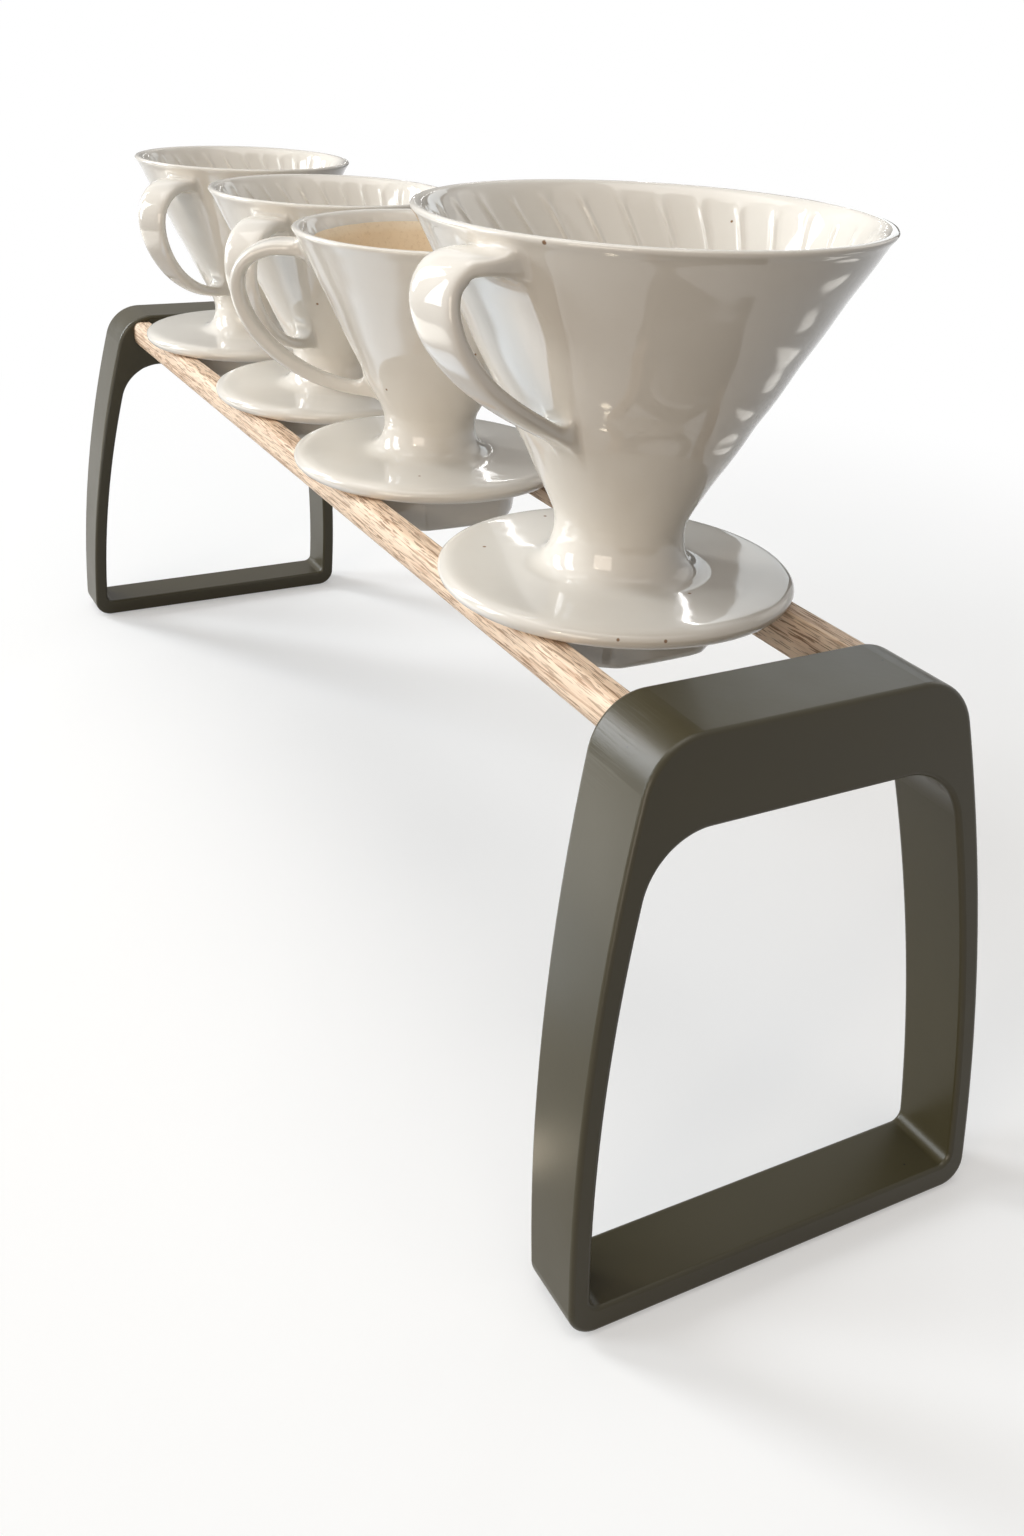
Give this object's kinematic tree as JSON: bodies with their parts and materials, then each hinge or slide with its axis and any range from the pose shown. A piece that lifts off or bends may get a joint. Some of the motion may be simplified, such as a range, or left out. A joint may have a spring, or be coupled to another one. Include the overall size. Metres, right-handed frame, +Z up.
{
  "type": "pour over dripper stand",
  "caption": "Bench stand with cast metal end frames and oak rails, carrying a row of handled ceramic cone drippers for pour-over coffee.",
  "frame": {"origin": "middle of the near foot strip's underside, on the bench", "axes": "+Y along the rails from the near frame to the far one, +Z up, +X to the right seen from the near end; handles point to -X"},
  "size_m": [0.1336, 0.5116, 0.2428],
  "materials": {
    "frame_paint": "satin grey-green powder coat",
    "oak": "open-grained pale oak, oiled",
    "screw_steel": "plain",
    "foot_rubber": "matt",
    "glaze": "glossy warm white glaze",
    "filter_paper": "unbleached, creased"
  },
  "bodies": {
    "root": {"near_end_frame": "frame_paint", "far_end_frame": "frame_paint", "left_rail": "oak", "right_rail": "oak", "near_left_rail_screw": "screw_steel", "near_right_rail_screw": "screw_steel", "far_left_rail_screw": "screw_steel", "far_right_rail_screw": "screw_steel", "near_foot_strip": "foot_rubber", "far_foot_strip": "foot_rubber", "dripper_1": "glaze", "dripper_2": "glaze", "dripper_3": "glaze", "dripper_4": "glaze", "paper_filter": "filter_paper"}
  },
  "joints": []
}
